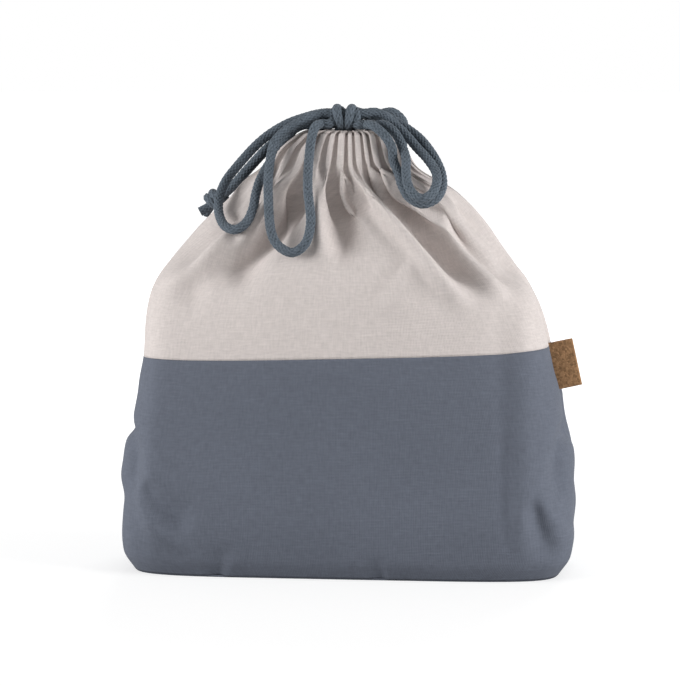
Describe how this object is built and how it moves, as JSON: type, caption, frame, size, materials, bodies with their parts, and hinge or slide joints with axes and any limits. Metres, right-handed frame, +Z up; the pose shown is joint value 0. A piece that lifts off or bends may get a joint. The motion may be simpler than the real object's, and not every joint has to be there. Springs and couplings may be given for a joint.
{
  "type": "bento bag",
  "caption": "Gathered cotton lunch bag with a boxed base, slate lower cloth, cream upper cloth, a drawstring mouth tied in a bow and a folded cork tag in its side seam.",
  "frame": {"origin": "middle of the base panel's underside, on the surface that the bag stands on", "axes": "+X to the bag's right seen from the front, +Y to its back, +Z up"},
  "size_m": [0.2431, 0.1154, 0.2447],
  "materials": {
    "slate_cloth": "matt plain-weave cotton canvas",
    "cream_cloth": "matt plain-weave cotton canvas with slubs",
    "cord": "soft braided cotton cord",
    "cork": "cork sheet, matt"
  },
  "bodies": {
    "bag": {"base_panel": "slate_cloth", "front_lower_panel": "slate_cloth", "back_lower_panel": "slate_cloth", "front_upper_panel": "cream_cloth", "back_upper_panel": "cream_cloth", "back_neck_panel": "cream_cloth", "front_casing": "cream_cloth", "right_side_seam": "cream_cloth", "left_side_seam": "cream_cloth", "front_band_seam": "slate_cloth", "back_band_seam": "slate_cloth", "right_corner_seam": "slate_cloth", "left_corner_seam": "slate_cloth", "left_front_lead": "cord", "left_cord_front_run": "cord", "left_cord_bight": "cord", "left_back_lead": "cord", "right_front_lead": "cord", "right_cord_front_run": "cord", "right_cord_bight": "cord", "right_back_lead": "cord", "bow_knot": "cord", "left_long_loop_root": "cord", "left_long_loop_return": "cord", "left_side_loop_root": "cord", "left_side_loop_return": "cord", "right_front_loop_root": "cord", "right_front_loop_return": "cord", "right_back_loop_root": "cord", "right_back_loop_return": "cord", "left_tail_front_root": "cord", "left_tail_back_root": "cord", "right_tail_outer_root": "cord", "right_tail_inner_root": "cord"},
    "tag": {"side_tag": "cork"},
    "long_loop": {"left_long_loop": "cord"},
    "side_loop": {"left_side_loop": "cord"},
    "right_loop": {"right_front_loop": "cord", "right_back_loop": "cord"},
    "left_tail": {"left_tail_front_strand": "cord", "left_tail_back_strand": "cord", "left_end_knot": "cord"},
    "back_mouth": {"back_casing": "cream_cloth", "left_cord_back_run": "cord", "right_cord_back_run": "cord"},
    "right_tail": {"right_tail_outer_strand": "cord", "right_tail_inner_strand": "cord", "right_end_knot": "cord"}
  },
  "joints": [
    {"name": "tag_flex", "type": "hinge", "parent": "bag", "child": "tag", "pos_m": [0.10946, 0, 0.112], "axis": [-0.2155, 0, 0.9765], "range_deg": [-75, 75]},
    {"name": "long_loop_swing", "type": "hinge", "parent": "bag", "child": "long_loop", "pos_m": [-0.0176, -0.021, 0.2285], "axis": [-0.9797, 0.0995, -0.1741], "range_deg": [0, 60]},
    {"name": "side_loop_swing", "type": "hinge", "parent": "bag", "child": "side_loop", "pos_m": [-0.0389, -0.0108, 0.217], "axis": [-0.9517, 0.307, 0], "range_deg": [0, 50]},
    {"name": "right_loop_swing", "type": "hinge", "parent": "bag", "child": "right_loop", "pos_m": [0.0242, -0.0236, 0.222], "axis": [-0.8262, -0.5633, 0], "range_deg": [0, 60]},
    {"name": "left_tail_swing", "type": "hinge", "parent": "bag", "child": "left_tail", "pos_m": [-0.0435, 0.0038, 0.2217], "axis": [0, 1, 0], "range_deg": [0, 45]},
    {"name": "mouth_open", "type": "slide", "parent": "bag", "child": "back_mouth", "axis": [0, 1, 0], "range_m": [0, 0.01], "deforming": ["back_neck_panel", "left_cord_bight", "right_cord_bight", "left_back_lead", "right_back_lead", "right_tail_outer_root", "right_tail_inner_root"]},
    {"name": "right_tail_swing", "type": "hinge", "parent": "back_mouth", "child": "right_tail", "pos_m": [0.02, 0.0205, 0.228], "axis": [1, 0, 0], "range_deg": [0, 50]}
  ]
}
